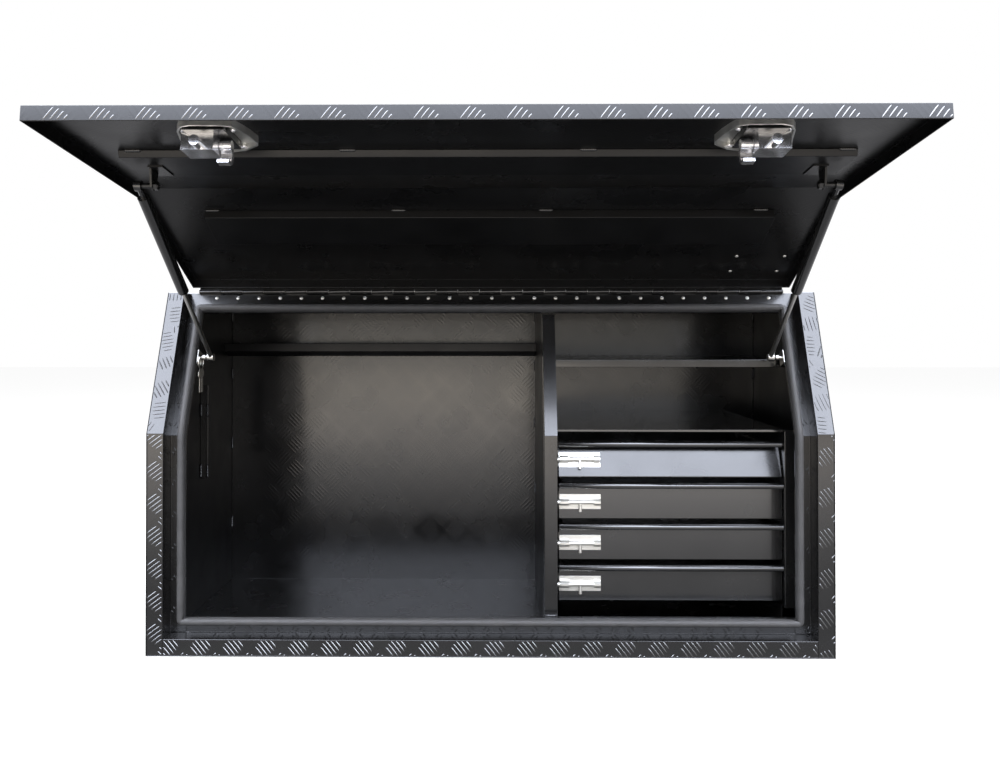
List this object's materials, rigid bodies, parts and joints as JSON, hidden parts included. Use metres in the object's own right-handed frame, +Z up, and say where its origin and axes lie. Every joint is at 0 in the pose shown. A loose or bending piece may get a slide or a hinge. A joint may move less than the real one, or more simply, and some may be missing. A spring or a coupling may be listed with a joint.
{
  "type": "toolbox with drawers",
  "caption": "Black steel toolbox with a cranked lift-up lid on gas struts, a divided hold and a stack of locking drawers behind the recessed front",
  "frame": {"origin": "middle of the underside of the box", "axes": "+X to the right seen from the front, +Y to the rear, +Z up; the lid is open at rest"},
  "size_m": [1.2, 0.9403, 0.8406],
  "materials": {
    "black_coat": "satin black powder coat over tread-plate steel",
    "seal_rubber": "matt extruded bulb seal",
    "zinc": "zinc plated steel",
    "chrome": "bright plated die casting",
    "cast_alloy": "dull die-cast alloy",
    "stainless": "polished stainless steel",
    "strut_paint": "gloss black paint on a gas strut cylinder"
  },
  "bodies": {
    "base": {"body_shell": "black_coat", "side_panel_left": "black_coat", "side_panel_right": "black_coat", "frame_left": "black_coat", "frame_right": "black_coat", "frame_bottom": "black_coat", "frame_top": "black_coat", "door_seal": "seal_rubber", "hinge_leaf_box": "black_coat", "hinge_pin": "zinc", "divider_post": "black_coat", "divider_panel": "black_coat", "upper_shelf": "black_coat", "rear_ledge": "black_coat", "side_rib_left": "black_coat", "drawer_cabinet": "black_coat", "strut_bracket_low_left": "zinc", "strut_bracket_low_right": "zinc"},
    "lid": {"lid_skin": "black_coat", "lid_pan_front": "black_coat", "lid_pan_slope": "black_coat", "hinge_leaf_lid": "black_coat", "lock_ring_left": "cast_alloy", "lock_dish_left": "black_coat", "lock_case_left": "chrome", "strut_bracket_up_left": "zinc", "lock_ring_right": "cast_alloy", "lock_dish_right": "black_coat", "lock_case_right": "chrome", "strut_bracket_up_right": "zinc"},
    "handle_left": {"lock_handle_left": "stainless"},
    "claw_left": {"lock_claw_left": "chrome"},
    "tube_left": {"strut_tube_left": "strut_paint"},
    "rod_left": {"strut_rod_left": "zinc"},
    "handle_right": {"lock_handle_right": "stainless"},
    "claw_right": {"lock_claw_right": "chrome"},
    "tube_right": {"strut_tube_right": "strut_paint"},
    "rod_right": {"strut_rod_right": "zinc"},
    "drawer_1": {"drawer_1": "black_coat", "bolt_plate_1": "zinc"},
    "bolt_1": {"bolt_1": "zinc"},
    "slide_1": {"slide_1_left": "zinc", "slide_1_right": "zinc"},
    "drawer_2": {"drawer_2": "black_coat", "bolt_plate_2": "zinc"},
    "bolt_2": {"bolt_2": "zinc"},
    "slide_2": {"slide_2_left": "zinc", "slide_2_right": "zinc"},
    "drawer_3": {"drawer_3": "black_coat", "bolt_plate_3": "zinc"},
    "bolt_3": {"bolt_3": "zinc"},
    "slide_3": {"slide_3_left": "zinc", "slide_3_right": "zinc"},
    "drawer_4": {"drawer_4": "black_coat", "bolt_plate_4": "zinc"},
    "bolt_4": {"bolt_4": "zinc"},
    "slide_4": {"slide_4_left": "zinc", "slide_4_right": "zinc"},
    "keys": {"keys": "zinc"}
  },
  "joints": [
    {"name": "lid_hinge", "type": "hinge", "parent": "base", "child": "lid", "pos_m": [0, -0.10756, 0.64304], "axis": [-1, 0, 0], "range_deg": [-96.5, 0]},
    {"name": "strut_pivot_left", "type": "hinge", "parent": "lid", "child": "tube_left", "pos_m": [-0.513, -0.48047, 0.77958], "axis": [-1, 0, 0], "range_deg": [-23.69, 0]},
    {"name": "strut_stroke_left", "type": "slide", "parent": "tube_left", "child": "rod_left", "axis": [0, 0.7765, -0.6301], "range_m": [-0.1473, 0]},
    {"name": "handle_hinge_left", "type": "hinge", "parent": "lid", "child": "handle_left", "pos_m": [-0.3585, -0.5845, 0.82062], "axis": [-1, 0, 0], "range_deg": [0, 40]},
    {"name": "claw_turn_left", "type": "hinge", "parent": "lid", "child": "claw_left", "pos_m": [-0.341, -0.61302, 0.80877], "axis": [1, 0, 0], "range_deg": [0, 50]},
    {"name": "strut_pivot_right", "type": "hinge", "parent": "lid", "child": "tube_right", "pos_m": [0.513, -0.48047, 0.77958], "axis": [-1, 0, 0], "range_deg": [-23.69, 0]},
    {"name": "strut_stroke_right", "type": "slide", "parent": "tube_right", "child": "rod_right", "axis": [0, 0.7765, -0.6301], "range_m": [-0.1473, 0]},
    {"name": "handle_hinge_right", "type": "hinge", "parent": "lid", "child": "handle_right", "pos_m": [0.3585, -0.5845, 0.82062], "axis": [-1, 0, 0], "range_deg": [0, 40]},
    {"name": "claw_turn_right", "type": "hinge", "parent": "lid", "child": "claw_right", "pos_m": [0.341, -0.61302, 0.80877], "axis": [1, 0, 0], "range_deg": [0, 50]},
    {"name": "drawer_slide_1", "type": "slide", "parent": "base", "child": "drawer_1", "axis": [0, -1, 0], "range_m": [0, 0.33]},
    {"name": "slide_travel_1", "type": "slide", "parent": "base", "child": "slide_1", "axis": [0, -1, 0], "range_m": [0, 0.165]},
    {"name": "bolt_travel_1", "type": "slide", "parent": "drawer_1", "child": "bolt_1", "axis": [1, 0, 0], "range_m": [-0.01, 0.02]},
    {"name": "drawer_slide_2", "type": "slide", "parent": "base", "child": "drawer_2", "axis": [0, -1, 0], "range_m": [0, 0.33]},
    {"name": "slide_travel_2", "type": "slide", "parent": "base", "child": "slide_2", "axis": [0, -1, 0], "range_m": [0, 0.165]},
    {"name": "bolt_travel_2", "type": "slide", "parent": "drawer_2", "child": "bolt_2", "axis": [1, 0, 0], "range_m": [-0.01, 0.02]},
    {"name": "drawer_slide_3", "type": "slide", "parent": "base", "child": "drawer_3", "axis": [0, -1, 0], "range_m": [0, 0.33]},
    {"name": "slide_travel_3", "type": "slide", "parent": "base", "child": "slide_3", "axis": [0, -1, 0], "range_m": [0, 0.165]},
    {"name": "bolt_travel_3", "type": "slide", "parent": "drawer_3", "child": "bolt_3", "axis": [1, 0, 0], "range_m": [-0.01, 0.02]},
    {"name": "drawer_slide_4", "type": "slide", "parent": "base", "child": "drawer_4", "axis": [0, -1, 0], "range_m": [0, 0.33]},
    {"name": "slide_travel_4", "type": "slide", "parent": "base", "child": "slide_4", "axis": [0, -1, 0], "range_m": [0, 0.165]},
    {"name": "bolt_travel_4", "type": "slide", "parent": "drawer_4", "child": "bolt_4", "axis": [1, 0, 0], "range_m": [-0.01, 0.02]},
    {"name": "keys_swing", "type": "hinge", "parent": "base", "child": "keys", "pos_m": [-0.5317, -0.16, 0.5195], "axis": [1, 0, 0], "range_deg": [-20, 20]}
  ],
  "couplings": [
    {"joint": "strut_pivot_left", "follows": "lid_hinge", "ratio": 0.24541},
    {"joint": "strut_stroke_left", "follows": "lid_hinge", "m_per_rad": 0.087347},
    {"joint": "claw_turn_left", "follows": "handle_hinge_left", "ratio": 1.25},
    {"joint": "strut_pivot_right", "follows": "lid_hinge", "ratio": 0.24541},
    {"joint": "strut_stroke_right", "follows": "lid_hinge", "m_per_rad": 0.087347},
    {"joint": "claw_turn_right", "follows": "handle_hinge_right", "ratio": 1.25},
    {"joint": "slide_travel_1", "follows": "drawer_slide_1", "ratio": 0.5},
    {"joint": "slide_travel_2", "follows": "drawer_slide_2", "ratio": 0.5},
    {"joint": "slide_travel_3", "follows": "drawer_slide_3", "ratio": 0.5},
    {"joint": "slide_travel_4", "follows": "drawer_slide_4", "ratio": 0.5}
  ]
}
